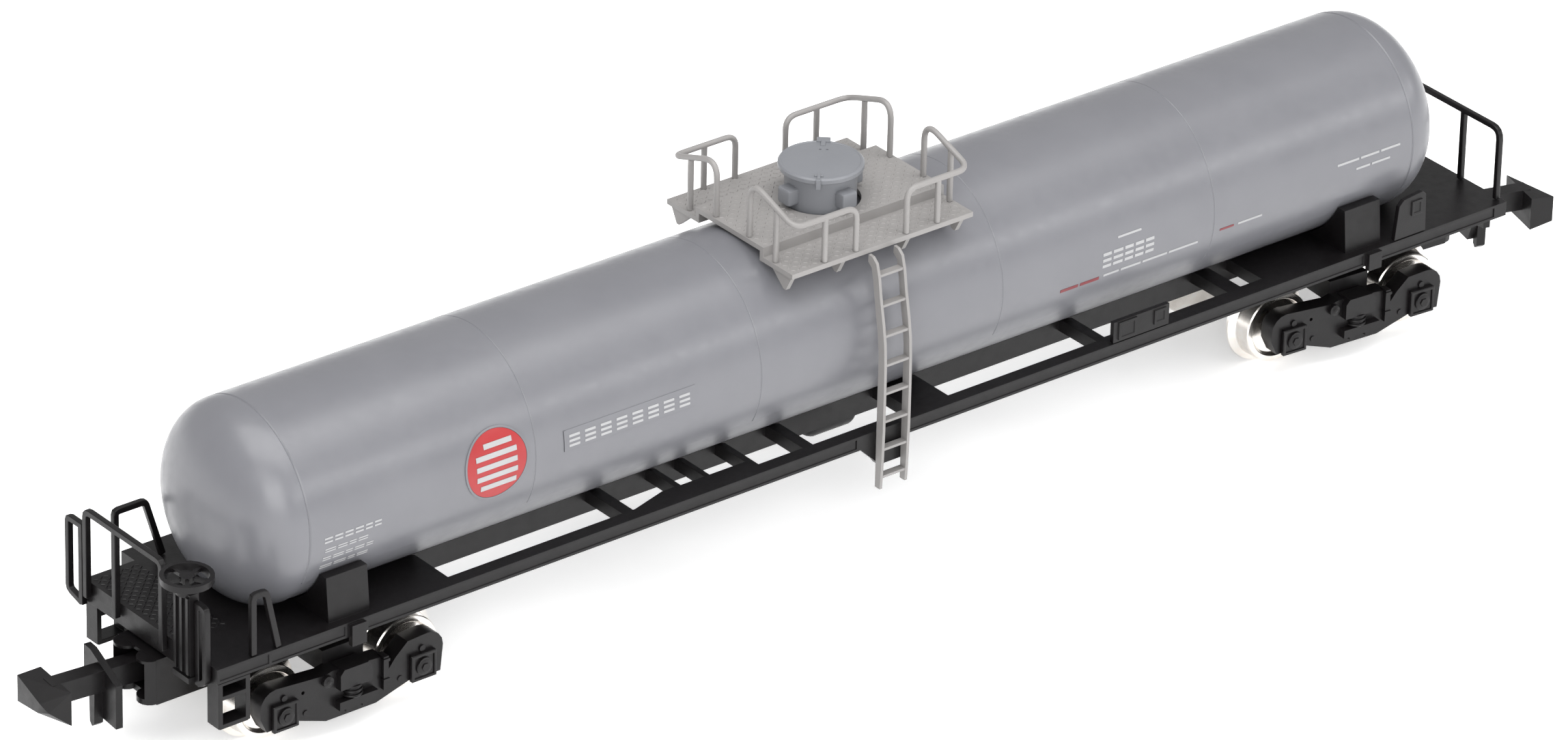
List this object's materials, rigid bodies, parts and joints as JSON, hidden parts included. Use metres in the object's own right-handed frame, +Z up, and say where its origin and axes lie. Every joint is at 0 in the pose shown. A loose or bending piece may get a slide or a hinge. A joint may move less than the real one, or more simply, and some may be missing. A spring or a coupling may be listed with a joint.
{
  "type": "model tank wagon",
  "caption": "Scale-model railway tank wagon: horizontal cylinder tank with roof walkway and ladders on a flat underframe, swivelling bogies, turning wheels and sprung hook couplers.",
  "frame": {"origin": "On the plane under the wheel flanges, at the middle of the wagon's length and width.", "axes": "+X along the wagon, from the end with the brake handwheel towards the other end; +Y across it, from the side with the label plates to the plain side; +Z up. Front is the handwheel end (-X) and left is -Y."},
  "size_m": [0.1237, 0.0174, 0.0259],
  "materials": {
    "tank_grey": "satin painted",
    "walkway_grey": "satin moulded",
    "frame_black": "satin moulded",
    "nickel": "nickel plated, turned",
    "steel": "plain"
  },
  "bodies": {
    "chassis": {"tank_shell": "tank_grey", "tank_belly": "tank_grey", "ballast_weight": "steel", "valve_dome": "tank_grey", "valve_dome_lid": "tank_grey", "walkway_deck": "walkway_grey", "handrail_front_left": "walkway_grey", "handrail_front_right": "walkway_grey", "handrail_rear_left": "walkway_grey", "handrail_rear_right": "walkway_grey", "ladder_left": "walkway_grey", "ladder_right": "walkway_grey", "underframe": "frame_black", "sill_label_plate": "frame_black", "end_label_plate": "frame_black", "air_reservoir": "frame_black", "brake_stand": "frame_black", "brake_handwheel": "frame_black", "front_end_rail": "frame_black", "grab_loop_left": "frame_black", "grab_loop_right": "frame_black", "side_stay_left": "frame_black", "side_stay_right": "frame_black", "front_step_left": "frame_black", "front_step_right": "frame_black", "rear_end_rail": "frame_black", "pivot_pin_front": "steel", "pivot_pin_rear": "steel"},
    "bogie_front": {"bogie_frame_front": "frame_black", "pocket_lid_front": "frame_black"},
    "coupler_swing_front": {"coupler_spring_front": "steel"},
    "coupler_hook_front": {"coupler_front": "frame_black"},
    "wheelset_front_outer": {"axle_front_outer": "steel", "wheel_front_outer_a": "nickel", "wheel_front_outer_b": "nickel"},
    "wheelset_front_inner": {"axle_front_inner": "steel", "wheel_front_inner_a": "nickel", "wheel_front_inner_b": "nickel"},
    "bogie_rear": {"bogie_frame_rear": "frame_black", "pocket_lid_rear": "frame_black"},
    "coupler_swing_rear": {"coupler_spring_rear": "steel"},
    "coupler_hook_rear": {"coupler_rear": "frame_black"},
    "wheelset_rear_outer": {"axle_rear_outer": "steel", "wheel_rear_outer_a": "nickel", "wheel_rear_outer_b": "nickel"},
    "wheelset_rear_inner": {"axle_rear_inner": "steel", "wheel_rear_inner_a": "nickel", "wheel_rear_inner_b": "nickel"}
  },
  "joints": [
    {"name": "bogie_front_swivel", "type": "hinge", "parent": "chassis", "child": "bogie_front", "pos_m": [-0.0431, 0, 0.0051], "axis": [0, 0, 1], "range_deg": [-15, 11]},
    {"name": "wheelset_front_outer_spin", "type": "hinge", "parent": "bogie_front", "child": "wheelset_front_outer", "pos_m": [-0.0485, 0, 0.0031], "axis": [0, 1, 0], "continuous": true},
    {"name": "wheelset_front_inner_spin", "type": "hinge", "parent": "bogie_front", "child": "wheelset_front_inner", "pos_m": [-0.0377, 0, 0.0031], "axis": [0, 1, 0], "continuous": true},
    {"name": "coupler_front_yaw", "type": "hinge", "parent": "bogie_front", "child": "coupler_swing_front", "pos_m": [-0.0513, 0, 0.00505], "axis": [0, 0, 1], "range_deg": [-10, 20]},
    {"name": "coupler_front_lift", "type": "hinge", "parent": "coupler_swing_front", "child": "coupler_hook_front", "pos_m": [-0.0513, 0, 0.00505], "axis": [0.0872, 0.9962, 0], "range_deg": [0, 7], "stiffness_Nm_per_rad": 0.001},
    {"name": "bogie_rear_swivel", "type": "hinge", "parent": "chassis", "child": "bogie_rear", "pos_m": [0.042, 0, 0.0051], "axis": [0, 0, 1], "range_deg": [-10.5, 19.5]},
    {"name": "wheelset_rear_outer_spin", "type": "hinge", "parent": "bogie_rear", "child": "wheelset_rear_outer", "pos_m": [0.04738, -0.00042, 0.0031], "axis": [0.0785, 0.9969, 0], "continuous": true},
    {"name": "wheelset_rear_inner_spin", "type": "hinge", "parent": "bogie_rear", "child": "wheelset_rear_inner", "pos_m": [0.03662, 0.00042, 0.0031], "axis": [0.0785, 0.9969, 0], "continuous": true},
    {"name": "coupler_rear_yaw", "type": "hinge", "parent": "bogie_rear", "child": "coupler_swing_rear", "pos_m": [0.05117, -0.00072, 0.00505], "axis": [0, 0, 1], "range_deg": [-3.8, 26.2]},
    {"name": "coupler_rear_lift", "type": "hinge", "parent": "coupler_swing_rear", "child": "coupler_hook_rear", "pos_m": [0.05117, -0.00072, 0.00505], "axis": [-0.2706, -0.9627, 0], "range_deg": [0, 7], "stiffness_Nm_per_rad": 0.001}
  ]
}
